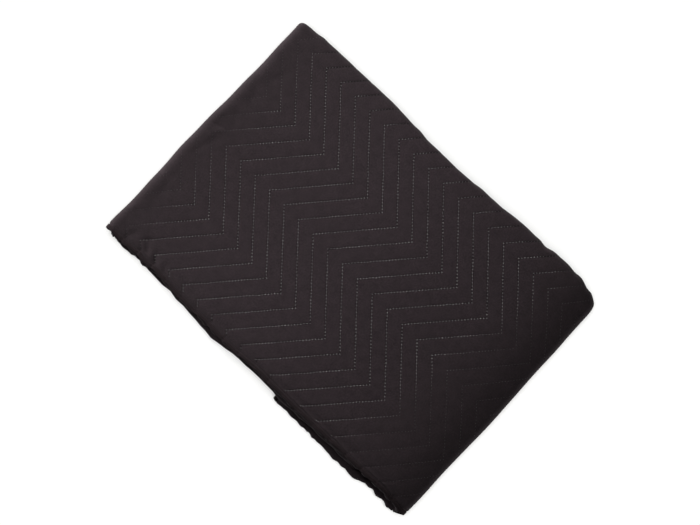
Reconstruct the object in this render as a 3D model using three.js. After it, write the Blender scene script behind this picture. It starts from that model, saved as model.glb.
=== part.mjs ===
// A quilted blanket lying folded: its two sides are brought in to make a strip four layers thick, and the
// strip is folded in three with the shorter flap underneath. Millimetres, +Z up, X along the strip, Y across.
import * as THREE from "three";

// Cloth
const clothThickness = 4.4;
const seamThickness = 2; // pressed flat under the binding
const layerGap = 0.8;
const flapGap = 1.4;
const foldedLength = 728;
const halfWidth = 251;
const secondLayerInset = 5;

// Binding tape over every edge
const tapeThickness = 0.8;
const tapeCover = 7;
const tapeInset = 0.1; // below the faces of the cloth beside it
const fitGap = 0.3;
const seamEnd = tapeCover + 0.5;
const seamTaper = 2.5;

// Quilting: rows of zigzag stitching side by side along the strip
const rowPitch = 36.5;
const zigzagReach = 100.4;
const legSpan = 111.35;
const legDrift = 6.8;
const rowTurn = THREE.MathUtils.degToRad(2.5);
const cornerX = -231.7; // one corner of the first row
const cornerY = 222.5;
const turnedFrom = -120; // the rows lie askew between these places, and straight beyond them
const turnedTo = 590;
const wholeLegs = 4;
const leastPartLeg = 0.04;
const grooveDepth = 1.6;
const columnsPerRow = 3;
const pointsPerLeg = 6;
const pointsPerPartLeg = 2;
const turnsPerFold = 6;
const turnsPerSmallFold = 4;

// Folding
const layerPitch = clothThickness + layerGap;
const stripHalf = 1.5 * layerPitch + clothThickness / 2;
const leftFoldRadius = 12;
const flapSlope = 7;
const flapCurve = 60;
const shortFlapReach = 299; // from the right fold back to its own end
const longFlapReach = 586;
const stepAhead = 8; // the long flap starts down this far past the end of the short one
const longFlapTip = { open: 3, folded: -6 };
const pressLine = -229; // beyond it the open side lies a little flatter
const pressReach = 22;
const pressShare = 0.1;

const clothLook = { color: 0x2f292b, roughness: 0.95, metalness: 0 };
const tapeLook = { color: 0x2b2729, roughness: 0.85, metalness: 0 };

const radians = THREE.MathUtils.degToRad;

function pointOn(leg, distance) {
  const { along, up, heading } = leg.start;
  if (leg.curve === 0) {
    return { along: along + distance * Math.cos(heading), up: up + distance * Math.sin(heading), heading };
  }
  const turned = heading + leg.curve * distance;
  return {
    along: along + (Math.sin(turned) - Math.sin(heading)) / leg.curve,
    up: up - (Math.cos(turned) - Math.cos(heading)) / leg.curve,
    heading: turned,
  };
}

function walk(rows, start) {
  const legs = [];
  let state = start;
  let from = 0;
  for (const row of rows) {
    const turn = radians(row.turn ?? 0);
    const length = row.length ?? row.radius * Math.abs(turn);
    const leg = { ...row, from, length, curve: turn / length, start: state };
    legs.push(leg);
    state = pointOn(leg, length);
    from += length;
  }
  return legs;
}

function legAt(legs, distance) {
  return legs.findLast((leg) => leg.from <= distance) ?? legs[0];
}

// The strip's own section: one sheet that runs across, back, across and back again
const foldCentre = halfWidth - stripHalf;
const topEdge = -(halfWidth - tapeThickness - fitGap);
const openFoldCentre = -(halfWidth - 0.5 * layerPitch - clothThickness / 2);
const across = walk(
  [
    { layer: "first, on the outside", length: foldCentre - topEdge },
    { layer: "outer side fold", radius: 1.5 * layerPitch, turn: -180 },
    { layer: "fourth, on the inside", length: foldCentre - openFoldCentre },
    { layer: "fold on the open side", radius: 0.5 * layerPitch, turn: -180 },
    { layer: "third", length: foldCentre - openFoldCentre },
    { layer: "inner side fold", radius: 0.5 * layerPitch, turn: 180 },
    { layer: "second", length: foldCentre - topEdge - secondLayerInset },
  ],
  { along: topEdge, up: 1.5 * layerPitch, heading: 0 },
);
const acrossLength = across.at(-1).from + across.at(-1).length;

// The strip's run from the end of the long flap to the end of the short one, with how far its open side
// and its folded side stand out from the straight at the end of each row
const flapStep = 2 * stripHalf + flapGap;
const curveDrop = (flapCurve / radians(flapSlope)) * (1 - Math.cos(radians(flapSlope)));
const slopeLength = (flapStep - 2 * curveDrop) / Math.sin(radians(flapSlope));
const slopeReach = 2 * (flapCurve / radians(flapSlope)) * Math.sin(radians(flapSlope))
  + slopeLength * Math.cos(radians(flapSlope));
const shortFlapStart = foldedLength - shortFlapReach;
const leftCentre = leftFoldRadius + stripHalf;
const longFlapEnd = longFlapReach + leftCentre;
const overlapReach = longFlapEnd - shortFlapStart + stepAhead;
const levelReach = shortFlapStart - stepAhead - slopeReach - leftCentre;
const upperRows = [
  { run: "long flap on the short one", length: overlapReach, open: 3, folded: -4 },
  { run: "long flap stepping down", length: flapCurve, turn: flapSlope, open: 4, folded: -3 },
  { run: "long flap sloping", length: slopeLength, open: 7, folded: 0 },
  { run: "long flap levelling", length: flapCurve, turn: -flapSlope, open: 2, folded: 5 },
  { run: "long flap on the floor", length: levelReach, open: 0, folded: 7 },
  { run: "left fold", radius: leftFoldRadius, turn: -180, open: -3, folded: 9 },
  { run: "top, lifting", length: 60, turn: 1.4, open: -4, folded: 11 },
  { run: "top, starting to rise", length: 45, turn: 1.4, open: -4, folded: 11 },
  { run: "top, steepening", length: 80, turn: 1.2, open: -1, folded: 9 },
  { run: "top, rising", length: 125, open: 1, folded: -1 },
  { run: "top, easing", length: 60, turn: -1.1, open: -1, folded: -3 },
  { run: "top, crest", length: 212, turn: -5.9, open: -1, folded: 5 },
  { run: "top, drooping", length: 62, turn: -7, open: -1, folded: 6 },
  { run: "top, falling to the fold", length: 48, turn: -12, open: 3, folded: -6 },
];
const floorLine = stripHalf;
const upperLegs = walk(upperRows, {
  along: longFlapEnd,
  up: floorLine + flapStep,
  heading: Math.PI,
});
const topEnd = pointOn(upperLegs.at(-1), upperLegs.at(-1).length);
const rightFoldRadius = (topEnd.up - floorLine) / (1 + Math.cos(topEnd.heading));
const lowerRows = [
  {
    run: "right fold",
    radius: rightFoldRadius,
    turn: -180 - THREE.MathUtils.radToDeg(topEnd.heading),
    open: 12,
    folded: -5,
  },
  { run: "short flap leaving the fold", length: 50, open: 9.5, folded: -4 },
  { run: "short flap standing out", length: 60, open: 17.5, folded: -3 },
  { run: "short flap to its end", length: topEnd.along - shortFlapStart - 110, open: 12, folded: -8 },
];
const strip = [];
let outerFrom = 0;
let previous = longFlapTip;
for (const leg of walk([...upperRows, ...lowerRows], upperLegs[0].start)) {
  const stretch = 1 - leg.curve * stripHalf;
  strip.push({ ...leg, from: outerFrom, outerLength: leg.length * stretch, stretch, previous });
  outerFrom += leg.length * stretch;
  previous = leg;
}
const stripLength = outerFrom;

function outsetsAt(outer) {
  const leg = legAt(strip, outer);
  const ease = THREE.MathUtils.smoothstep((outer - leg.from) / leg.outerLength, 0, 1);
  return {
    open: THREE.MathUtils.lerp(leg.previous.open, leg.open, ease),
    folded: THREE.MathUtils.lerp(leg.previous.folded, leg.folded, ease),
  };
}

// Where a line at y across the straight strip comes to lie once its sides stand out, and the other way round
function outsetY(outer, y) {
  const { open, folded } = outsetsAt(outer);
  const side = (y + halfWidth) / (2 * halfWidth);
  return y - open * (1 - side) + folded * side;
}

function straightY(outer, placedY) {
  const { open, folded } = outsetsAt(outer);
  const widening = (open + folded) / 2;
  return (placedY + open - widening) / (1 + widening / halfWidth);
}

// A point of the folded blanket from its place along the strip's outer face, across it and out of it
function place(outer, y, out) {
  const leg = legAt(strip, outer);
  const at = pointOn(leg, (outer - leg.from) / leg.stretch);
  const placedY = outsetY(outer, y);
  const pressed = pressShare * Math.max(0, (pressLine - placedY) / pressReach);
  return [
    at.along - out * Math.sin(at.heading) - foldedLength / 2,
    placedY,
    (at.up + out * Math.cos(at.heading)) * (1 - pressed),
  ];
}

// Where a straight layer of the section crosses the line from which it is pressed
function pressStep(leg, outer) {
  return leg.from + (straightY(outer, pressLine) - leg.start.along) * Math.cos(leg.start.heading);
}

function acrossAt(distance, lift) {
  const leg = legAt(across, distance);
  const at = pointOn(leg, distance - leg.from);
  return { y: at.along - lift * Math.sin(at.heading), out: at.up + lift * Math.cos(at.heading) };
}

// Cloth is thin where tape covers it, along the sides and at both ends
function coverRamp(distance, length) {
  const inside = Math.min(distance, length - distance);
  return THREE.MathUtils.clamp((inside - seamEnd) / seamTaper, 0, 1);
}

function halfThickness(distance, outer) {
  const ramp = Math.min(coverRamp(distance, acrossLength), coverRamp(outer, stripLength));
  return THREE.MathUtils.lerp(seamThickness, clothThickness, ramp) / 2;
}

// Stitching: a corner is a turn of one row of zigzag, numbered from the folded side to the open side
const leftFold = strip.find((leg) => leg.run === "left fold");
const topStart = leftFold.from + leftFold.outerLength;
const rightFold = strip.find((leg) => leg.run === "right fold");
const topStop = rightFold.from;
const rightStop = rightFold.from + rightFold.outerLength;
const topStartX = leftCentre - foldedLength / 2;
const openLine = acrossAt(seamEnd + seamTaper, 0).y;

function corner(row, turn) {
  const odd = Math.abs(turn) % 2;
  const alongRow = row * rowPitch + odd * zigzagReach + turn * legDrift;
  const held = THREE.MathUtils.clamp(alongRow, turnedFrom, turnedTo);
  return {
    x: cornerX + alongRow * Math.cos(rowTurn) - turn * legSpan * Math.sin(rowTurn),
    y: cornerY - held * Math.sin(rowTurn) - turn * legSpan * Math.cos(rowTurn),
  };
}

function stitchAt(row, turn) {
  const before = corner(row, Math.floor(turn));
  const after = corner(row, Math.floor(turn) + 1);
  const part = turn - Math.floor(turn);
  return {
    x: THREE.MathUtils.lerp(before.x, after.x, part),
    y: THREE.MathUtils.lerp(before.y, after.y, part),
  };
}

function outerOf(x) {
  return topStart + x - topStartX;
}

// The turn at which a row's stitching crosses a line of the strip, a distance past it
function turnAtLine(row, firstTurn, line, past = 0) {
  const from = corner(row, firstTurn);
  const to = corner(row, firstTurn + 1);
  const turnAt = (y) => firstTurn + (from.y - y) / (from.y - to.y);
  const { x } = stitchAt(row, turnAt(line));
  return turnAt(outsetY(outerOf(x), line) + past);
}

function openTurn(row) {
  return Math.max(turnAtLine(row, wholeLegs, openLine), wholeLegs + leastPartLeg);
}

function openOuter(row) {
  return outerOf(stitchAt(row, openTurn(row)).x);
}

// Rows that run out askew under the tape are drawn in, in the same order, to stay clear of the thin seam
const seamClearance = 3;
function clearOfSeam(y) {
  const past = y - openLine;
  return openLine + (past + Math.hypot(past, seamClearance)) / 2;
}

// Rows of points over the quilted face, from the open side to the folded side and round its fold
const sideTurn = (row) => turnAtLine(row, -1, foldCentre);
const facePoints = [];
for (let i = 1; i <= pointsPerPartLeg; i++) {
  const part = i / pointsPerPartLeg;
  facePoints.push((row) => THREE.MathUtils.lerp(openTurn(row), wholeLegs, part));
}
for (let i = 1; i <= wholeLegs * pointsPerLeg; i++) {
  facePoints.push(() => wholeLegs - i / pointsPerLeg);
}
for (let i = 1; i <= pointsPerPartLeg; i++) {
  const part = i / pointsPerPartLeg;
  facePoints.push((row) => sideTurn(row) * part);
}

// Places along the strip: close together over the top and its folds, further apart on the hidden flaps
const fadeLength = 150;
const leftMargin = 85;
const rightMargin = 45;
const foldMargin = 15;
const endMargin = 20;
const grooveFade = 25;
const fineFrom = leftFold.from - leftMargin;
const fineTo = rightStop + rightMargin;
const stations = [];
for (const leg of strip) {
  const steps = leg.curve === 0 ? 1 : 2;
  for (let i = 0; i < steps; i++) {
    const outer = leg.from + (leg.outerLength * i) / steps;
    const clearOfEnds = outer > endMargin && outer < stripLength - endMargin;
    if (clearOfEnds && (outer < fineFrom - fadeLength || outer > fineTo + fadeLength)) {
      stations.push({ outer, coarse: true });
    }
  }
}
for (const inset of [0, seamEnd, seamEnd + seamTaper]) {
  stations.push({ outer: inset, coarse: true }, { outer: stripLength - inset, coarse: true });
}
const firstRow = -20;
const lastRow = 40;
for (let i = firstRow * columnsPerRow; i <= lastRow * columnsPerRow; i++) {
  const row = i / columnsPerRow;
  const onStitch = i % columnsPerRow === 0;
  const outer = openOuter(row);
  const fine = outer > fineFrom && outer < fineTo;
  const inFold = (outer > leftFold.from - foldMargin && outer < topStart + foldMargin)
    || (outer > topStop - foldMargin && outer < rightStop + foldMargin);
  const nearTo = Math.min(fineTo + fadeLength, stripLength - endMargin);
  const near = outer > fineFrom - fadeLength && outer < nearTo;
  if (near && (fine || onStitch)) {
    stations.push({ outer, row, onStitch, coarse: onStitch || inFold });
  }
}
stations.sort((a, b) => a.outer - b.outer);
const coarseStations = stations.filter((station) => station.coarse);

function quiltedShare(outer) {
  const left = THREE.MathUtils.smoothstep(outer, fineFrom - fadeLength, fineFrom);
  const right = THREE.MathUtils.smoothstep(outer, fineTo, fineTo + fadeLength);
  return left * (1 - right);
}

function grooveShare(outer) {
  const left = THREE.MathUtils.smoothstep(outer, leftFold.from, leftFold.from + grooveFade);
  const right = THREE.MathUtils.smoothstep(outer, rightStop - grooveFade, rightStop);
  return left * (1 - right);
}

class Solid {
  constructor() {
    this.points = [];
    this.faces = [];
  }

  point(position) {
    this.points.push(...position);
    return this.points.length / 3 - 1;
  }

  gap(a, b) {
    return Math.hypot(...[0, 1, 2].map((i) => this.points[3 * a.id + i] - this.points[3 * b.id + i]));
  }

  // Triangles between two lines of points that run side by side, each point with its place along them;
  // where the places agree the shorter way across is taken
  bridge(first, second, turned = false) {
    let i = 0;
    let j = 0;
    while (i < first.length - 1 || j < second.length - 1) {
      const nextFirst = first[i + 1]?.key ?? Infinity;
      const nextSecond = second[j + 1]?.key ?? Infinity;
      const here = [first[i].id, second[j].id];
      let takeFirst = nextFirst < nextSecond;
      if (nextFirst === nextSecond) {
        takeFirst = this.gap(first[i + 1], second[j]) < this.gap(first[i], second[j + 1]);
      }
      if (takeFirst) {
        i += 1;
        here.splice(1, 0, first[i].id);
      } else {
        j += 1;
        here.splice(1, 0, second[j].id);
      }
      this.faces.push(...(turned ? here.toReversed() : here));
    }
  }

  bridgeAll(lines) {
    lines.forEach((line, i) => this.bridge(line, lines[(i + 1) % lines.length]));
  }

  // The end of a sheet, between the points of its face and those of its back
  closeSheet(ids, distances, turned) {
    const ends = ids.map((id, i) => ({ id, key: distances[i] }));
    const widest = distances.indexOf(Math.max(...distances)) + 1;
    this.bridge(ends.slice(0, widest), ends.slice(widest).toReversed(), turned);
  }

  closeOutline(ids, outline, turned) {
    for (const [a, b, c] of THREE.ShapeUtils.triangulateShape(outline, [])) {
      this.faces.push(ids[a], ids[turned ? c : b], ids[turned ? b : c]);
    }
  }

  mesh(name, look) {
    const corners = this.faces.map((id) => new THREE.Vector3().fromArray(this.points, 3 * id));
    let volume = 0;
    for (let i = 0; i < corners.length; i += 3) {
      volume += corners[i].dot(new THREE.Vector3().crossVectors(corners[i + 1], corners[i + 2]));
    }
    const geometry = new THREE.BufferGeometry();
    geometry.setAttribute("position", new THREE.Float32BufferAttribute(this.points, 3));
    geometry.setIndex(volume > 0 ? this.faces : this.faces.toReversed());
    geometry.computeVertexNormals();
    const mesh = new THREE.Mesh(geometry, new THREE.MeshStandardMaterial(look));
    mesh.name = name;
    return mesh;
  }
}

// Distances across the sheet at which its section has points, at a place along the strip: its folds in small
// turns, and one in each straight layer
function legSteps(leg) {
  if (leg.curve === 0) {
    return [(outer) => pressStep(leg, outer)];
  }
  const turns = leg.radius > layerPitch ? turnsPerFold : turnsPerSmallFold;
  return Array.from({ length: turns + 1 }, (_, i) => () => leg.from + (leg.length * i) / turns);
}

const sheetSteps = across.flatMap(legSteps);

function quiltPad() {
  const solid = new Solid();
  const lines = [];
  const distances = [];
  const addLine = (distance, along, spot) => {
    distances.push(distance);
    lines.push(
      along.map((station) => {
        const { shift = 0, y, out } = spot(station);
        return { key: station.outer, id: solid.point(place(station.outer + shift, y, out)) };
      }),
    );
  };
  const addPlain = (stepAt, side) => {
    addLine(stepAt(0), coarseStations, ({ outer }) => {
      const distance = stepAt(outer);
      return acrossAt(distance, side * halfThickness(distance, outer));
    });
  };
  const groove = ({ onStitch }, outer) => (onStitch ? grooveDepth * grooveShare(outer) : 0);
  const shiftTo = (station, turn) => {
    const moved = outerOf(stitchAt(station.row, turn).x) - station.outer;
    return moved * quiltedShare(station.outer);
  };

  const firstSeam = [0, seamEnd, seamEnd + seamTaper].map((inset) => () => inset);
  firstSeam.forEach((stepAt) => addPlain(stepAt, 1));
  facePoints.forEach((turnOf, i) => {
    const evenY = THREE.MathUtils.lerp(openLine, foldCentre, (i + 1) / facePoints.length);
    addLine(evenY - topEdge, stations, (station) => {
      const { outer, row } = station;
      const faceOut = 1.5 * layerPitch + halfThickness(acrossLength / 2, outer);
      if (row === undefined) {
        return { y: evenY, out: faceOut };
      }
      const turn = turnOf(row);
      const shift = shiftTo(station, turn);
      const stitchY = clearOfSeam(straightY(outer + shift, stitchAt(row, turn).y));
      const y = THREE.MathUtils.lerp(evenY, stitchY, quiltedShare(outer));
      return { shift, y, out: faceOut - groove(station, outer + shift) };
    });
  });
  for (let i = 1; i < turnsPerFold; i++) {
    const part = i / turnsPerFold;
    addLine(across[1].from + across[1].length * part, stations, (station) => {
      const { outer, row } = station;
      const reach = 1.5 * layerPitch + halfThickness(acrossLength / 2, outer);
      const spot = (radius) => ({
        y: foldCentre + radius * Math.sin(Math.PI * part),
        out: radius * Math.cos(Math.PI * part),
      });
      if (row === undefined) {
        return spot(reach);
      }
      const turn = turnAtLine(row, -1, foldCentre, stripHalf * Math.PI * part);
      const shift = shiftTo(station, turn) * (1 - part);
      return { shift, ...spot(reach - groove(station, outer + shift) * (1 - part)) };
    });
  }
  const foldEnd = across[2].from;
  const lastSeam = [seamEnd + seamTaper, seamEnd, 0].map((inset) => () => acrossLength - inset);
  const inner = sheetSteps.filter((stepAt) => stepAt(0) >= foldEnd);
  [...inner, ...lastSeam].forEach((stepAt) => addPlain(stepAt, 1));
  const back = [...firstSeam, ...sheetSteps, ...lastSeam];
  back.toReversed().forEach((stepAt) => addPlain(stepAt, -1));

  solid.bridgeAll(lines);
  solid.closeSheet(lines.map((line) => line[0].id), distances, false);
  solid.closeSheet(lines.map((line) => line.at(-1).id), distances, true);
  return solid.mesh("quilt_pad", clothLook);
}

// Tape on a long edge: a narrow channel over the thin rim of the cloth, between the tapes of the two ends
const tapeOuter = clothThickness / 2 - tapeInset;
const tapeInner = tapeOuter - tapeThickness;
const tapeReach = fitGap + tapeThickness;
function sideBinding(name, edge, inward) {
  const round = tapeThickness / 2;
  const channel = [
    { inset: tapeCover, lift: tapeOuter },
    { inset: round - tapeReach, lift: tapeOuter },
    { inset: -tapeReach, lift: tapeOuter - round },
    { inset: -tapeReach, lift: round - tapeOuter },
    { inset: round - tapeReach, lift: -tapeOuter },
    { inset: tapeCover, lift: -tapeOuter },
    { inset: tapeCover, lift: -tapeInner },
    { inset: -fitGap, lift: -tapeInner },
    { inset: -fitGap, lift: tapeInner },
    { inset: tapeCover, lift: tapeInner },
  ];
  const from = tapeCover + fitGap;
  const to = stripLength - from;
  const places = coarseStations.map(({ outer }) => outer).filter((outer) => outer > from && outer < to);
  const along = [from, ...places, to];
  const solid = new Solid();
  const spots = channel.map(({ inset, lift }) => acrossAt(edge + inward * inset, inward * lift));
  const lines = spots.map(({ y, out }) =>
    along.map((outer) => ({ key: outer, id: solid.point(place(outer, y, out)) })),
  );
  const outline = spots.map(({ y, out }) => new THREE.Vector2(y, out));
  solid.bridgeAll(lines);
  solid.closeOutline(lines.map((line) => line[0].id), outline, false);
  solid.closeOutline(lines.map((line) => line.at(-1).id), outline, true);
  return solid.mesh(name, tapeLook);
}

// Tape on an end: the same channel, following the sheet through all its layers
function endBinding(name, end, inward) {
  const solid = new Solid();
  const ring = (inset, lift, beyond) => {
    const outer = end + inward * inset;
    const steps = [-beyond, ...sheetSteps.map((stepAt) => stepAt(outer)), acrossLength + beyond];
    const sides = [
      ...steps.map((distance) => acrossAt(distance, lift)),
      ...steps.toReversed().map((distance) => acrossAt(distance, -lift)),
    ];
    const ids = sides.map(({ y, out }) => solid.point(place(outer, y, out)));
    return { ids, distances: [...steps, ...steps.toReversed()] };
  };
  const rings = [
    ring(-fitGap, tapeInner, fitGap),
    ring(tapeCover, tapeInner, fitGap),
    ring(tapeCover, tapeOuter, tapeReach),
    ring(-tapeReach, tapeOuter, tapeReach),
  ];
  const lines = rings[0].ids.map((_, i) => rings.map((each, key) => ({ key, id: each.ids[i] })));
  solid.bridgeAll(lines);
  solid.closeSheet(rings[0].ids, rings[0].distances, false);
  solid.closeSheet(rings.at(-1).ids, rings.at(-1).distances, true);
  return solid.mesh(name, tapeLook);
}

const quilt = new THREE.Group();
quilt.name = "folded_quilt";
quilt.add(
  quiltPad(),
  sideBinding("first_side_binding", 0, 1),
  sideBinding("second_side_binding", acrossLength, -1),
  endBinding("long_flap_binding", 0, 1),
  endBinding("short_flap_binding", stripLength, -1),
);
quilt.updateMatrixWorld(true);
const bounds = new THREE.Box3().setFromObject(quilt);
const middle = bounds.getCenter(new THREE.Vector3());
quilt.children.forEach((mesh) => mesh.geometry.translate(-middle.x, -middle.y, -bounds.min.z));

export default quilt;
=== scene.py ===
import math
import bmesh
import bpy
import numpy as np
from mathutils import Matrix, Vector


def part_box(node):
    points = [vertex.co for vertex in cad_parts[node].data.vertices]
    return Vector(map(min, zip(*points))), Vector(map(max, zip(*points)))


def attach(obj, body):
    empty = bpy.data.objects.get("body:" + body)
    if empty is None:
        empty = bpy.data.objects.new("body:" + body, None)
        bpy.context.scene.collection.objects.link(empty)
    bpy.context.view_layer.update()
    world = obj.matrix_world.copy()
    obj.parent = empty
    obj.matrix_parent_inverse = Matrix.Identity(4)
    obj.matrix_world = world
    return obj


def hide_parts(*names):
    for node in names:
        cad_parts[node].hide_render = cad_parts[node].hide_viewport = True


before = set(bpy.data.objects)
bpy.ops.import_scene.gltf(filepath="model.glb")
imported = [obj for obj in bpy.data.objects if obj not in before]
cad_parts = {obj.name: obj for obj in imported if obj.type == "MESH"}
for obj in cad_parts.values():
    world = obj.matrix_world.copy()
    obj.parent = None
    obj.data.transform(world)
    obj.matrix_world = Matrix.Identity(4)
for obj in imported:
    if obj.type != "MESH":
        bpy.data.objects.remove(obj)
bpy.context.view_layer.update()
print("frame loaded")

folding = {  # millimetres and degrees, as the solids are folded
    "clothThickness": 4.4,
    "seamThickness": 2.0,  # pressed flat under the binding
    "layerGap": 0.8,
    "flapGap": 1.4,
    "foldedLength": 728.0,
    "halfWidth": 251.0,
    "secondLayerInset": 5.0,
    "leftFoldRadius": 12.0,
    "flapSlope": 7.0,
    "flapCurve": 60.0,
    "shortFlapReach": 299.0,
    "longFlapReach": 586.0,
    "stepAhead": 8.0,
    "pressLine": -229.0,  # beyond it the open side lies a little flatter
    "pressReach": 22.0,
    "pressShare": 0.1,
    "pressSoftness": 0.5,
    "endBow": 3.2,  # both folded ends stand out towards their middles
    "bowMiddle": -25.0,
    "bowWidth": 95.0,
    "firstLayerInset": 2.2,  # the top edge lies a little back from the folds below it
    "leftSquare": 4.0,  # the left fold is a little square, flat on top almost to its edge
    "cornerCut": 5.3,  # the far corner of the right fold is rounded off
    "cornerReach": (34.0, 28.0),  # over this much of the length and the width
    "openLumpReach": 50.0,  # how far in from each edge its lumps fade out
    "foldedLumpReach": 22.0,
    "endLumpReach": 64.0,
}
binding = {  # tape over every edge, millimetres
    "thickness": 0.8,
    "cover": 7.0,
    "inset": 0.1,
    "gap": 0.3,
    "slack": 0.5,  # the cloth stays thin this far past the tape
    "taper": 2.5,
    "bulge": (0.15, 0.1),  # how far the tape stands up in its middle, above and below
    "round": 0.4,
    "ripple": 0.2,
    "rippleLength": 9.0,
}
clothHalf = folding["clothThickness"] / 2
layerPitch = folding["clothThickness"] + folding["layerGap"]
stripHalf = 1.5 * layerPitch + clothHalf
halfWidth = folding["halfWidth"]
halfLength = folding["foldedLength"] / 2
seamEnd = binding["cover"] + binding["slack"]
seamTo = seamEnd + binding["taper"]
seamSteps = [0.0, 2.5, 5.0, seamEnd]
tapeReach = binding["thickness"] + binding["gap"]
tapeOuter = clothHalf - binding["inset"]


def smooth(value, low, high):
    part = np.clip((value - low) / (high - low), 0, 1)
    return part * part * (3 - 2 * part)


def walk(rows, start):  # a run of straight and bent legs, one after another
    legs, reached = [], 0.0
    along, up, heading = start
    for row in rows:
        turn = math.radians(row.get("turn", 0.0))
        length = row["length"] if "length" in row else row["radius"] * abs(turn)
        start = (along, up, heading)
        legs.append({**row, "from": reached, "length": length, "curve": turn / length, "start": start})
        if turn:
            along += (math.sin(heading + turn) - math.sin(heading)) * length / turn
            up -= (math.cos(heading + turn) - math.cos(heading)) * length / turn
            heading += turn
        else:
            along += length * math.cos(heading)
            up += length * math.sin(heading)
        reached += length
    return legs, (along, up, heading)


def follow(legs, index, distance):
    along, up, heading = (np.array([leg["start"][i] for leg in legs])[index] for i in range(3))
    bend = np.array([leg["curve"] for leg in legs])[index]
    bent = bend != 0
    safe = np.where(bent, bend, 1.0)
    turned = heading + bend * distance
    along = along + np.where(bent, (np.sin(turned) - np.sin(heading)) / safe, distance * np.cos(heading))
    up = up - np.where(bent, (np.cos(turned) - np.cos(heading)) / safe, -distance * np.sin(heading))
    return along, up, turned


# the strip's own section: one sheet that runs across, back, across and back again
foldCentre = halfWidth - stripHalf
topEdge = tapeReach - halfWidth + folding["firstLayerInset"]
openFoldCentre = 0.5 * layerPitch + clothHalf - halfWidth
acrossLegs, _ = walk(
    [
        {"layer": "first, on the outside", "length": foldCentre - topEdge},
        {"layer": "outer side fold", "radius": 1.5 * layerPitch, "turn": -180},
        {"layer": "fourth, on the inside", "length": foldCentre - openFoldCentre},
        {"layer": "fold on the open side", "radius": 0.5 * layerPitch, "turn": -180},
        {"layer": "third", "length": foldCentre - openFoldCentre},
        {"layer": "inner side fold", "radius": 0.5 * layerPitch, "turn": 180},
        {"layer": "second", "length": foldCentre - topEdge - folding["secondLayerInset"]},
    ],
    (topEdge, 1.5 * layerPitch, 0.0),
)
acrossFrom = np.array([leg["from"] for leg in acrossLegs])
acrossLength = acrossLegs[-1]["from"] + acrossLegs[-1]["length"]


def acrossAt(distance, lift):
    distance, lift = np.broadcast_arrays(np.asarray(distance, float), np.asarray(lift, float))
    index = np.clip(np.searchsorted(acrossFrom, distance, side="right") - 1, 0, len(acrossLegs) - 1)
    y, out, heading = follow(acrossLegs, index, distance - acrossFrom[index])
    return y - lift * np.sin(heading), out + lift * np.cos(heading)


# the strip's run from the end of the long flap to the end of the short one
flapSlope, slopeCurve = folding["flapSlope"], folding["flapCurve"]
slope = math.radians(flapSlope)
flapStep = 2 * stripHalf + folding["flapGap"]
slopeLength = (flapStep - 2 * slopeCurve / slope * (1 - math.cos(slope))) / math.sin(slope)
slopeReach = 2 * slopeCurve / slope * math.sin(slope) + slopeLength * math.cos(slope)
shortFlapStart = folding["foldedLength"] - folding["shortFlapReach"]
leftCentre = folding["leftFoldRadius"] + stripHalf
longFlapEnd = folding["longFlapReach"] + leftCentre
overlapReach = longFlapEnd - shortFlapStart + folding["stepAhead"]
levelReach = shortFlapStart - folding["stepAhead"] - slopeReach - leftCentre
upperRows = [  # open and folded: how far each side stands out at the end of the row
    {"run": "long flap on the short one", "length": overlapReach, "open": 3, "folded": -4},
    {"run": "long flap stepping down", "length": slopeCurve, "turn": flapSlope, "open": 4, "folded": -3},
    {"run": "long flap sloping", "length": slopeLength, "open": 7, "folded": 0},
    {"run": "long flap levelling", "length": slopeCurve, "turn": -flapSlope, "open": 2, "folded": 5},
    {"run": "long flap on the floor", "length": levelReach, "open": 0, "folded": 7},
    {"run": "left fold", "radius": folding["leftFoldRadius"], "turn": -180, "open": -3, "folded": 9},
    {"run": "top, lifting", "length": 60, "turn": 1.4, "open": -4, "folded": 11},
    {"run": "top, starting to rise", "length": 45, "turn": 1.4, "open": -4, "folded": 11},
    {"run": "top, steepening", "length": 80, "turn": 1.2, "open": -1, "folded": 9},
    {"run": "top, rising", "length": 125, "open": 1, "folded": -1},
    {"run": "top, easing", "length": 60, "turn": -1.1, "open": -1, "folded": -3},
    {"run": "top, crest", "length": 212, "turn": -5.9, "open": -1, "folded": 5},
    {"run": "top, drooping", "length": 62, "turn": -7, "open": -1, "folded": 6},
    {"run": "top, falling to the fold", "length": 48, "turn": -12, "open": 3, "folded": -6},
]
stripStart = (longFlapEnd, stripHalf + flapStep, math.pi)
_, (topEndX, topEndZ, topEndHeading) = walk(upperRows, stripStart)
rightFoldRadius = (topEndZ - stripHalf) / (1 + math.cos(topEndHeading))
rightFoldTurn = -180 - math.degrees(topEndHeading)
leavingLength, standingLength = 50, 60
lastLength = topEndX - shortFlapStart - leavingLength - standingLength
lowerRows = [
    {"run": "right fold", "radius": rightFoldRadius, "turn": rightFoldTurn, "open": 12, "folded": -5},
    {"run": "short flap leaving the fold", "length": leavingLength, "open": 9.5, "folded": -4},
    {"run": "short flap standing out", "length": standingLength, "open": 17.5, "folded": -3},
    {"run": "short flap to its end", "length": lastLength, "open": 12, "folded": -8},
]
stripLegs, _ = walk(upperRows + lowerRows, stripStart)
runs = [leg["run"] for leg in stripLegs]
stretch = np.array([1 - leg["curve"] * stripHalf for leg in stripLegs])
outerLengths = np.array([leg["length"] for leg in stripLegs]) * stretch
outerFrom = np.concatenate([[0.0], np.cumsum(outerLengths)[:-1]])
stripLength = outerLengths.sum()
sheetLength = sum(leg["length"] for leg in stripLegs)
openOut = np.array([3.0] + [leg["open"] for leg in stripLegs])  # first at the end of the long flap
foldedOut = np.array([-6.0] + [leg["folded"] for leg in stripLegs])
leftIndex, rightIndex = runs.index("left fold"), runs.index("right fold")
leftFoldFrom, topFrom = outerFrom[leftIndex], outerFrom[leftIndex + 1]
rightFoldFrom, rightFoldTo = outerFrom[rightIndex], outerFrom[rightIndex + 1]
moveToFrame = np.zeros(3)


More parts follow.
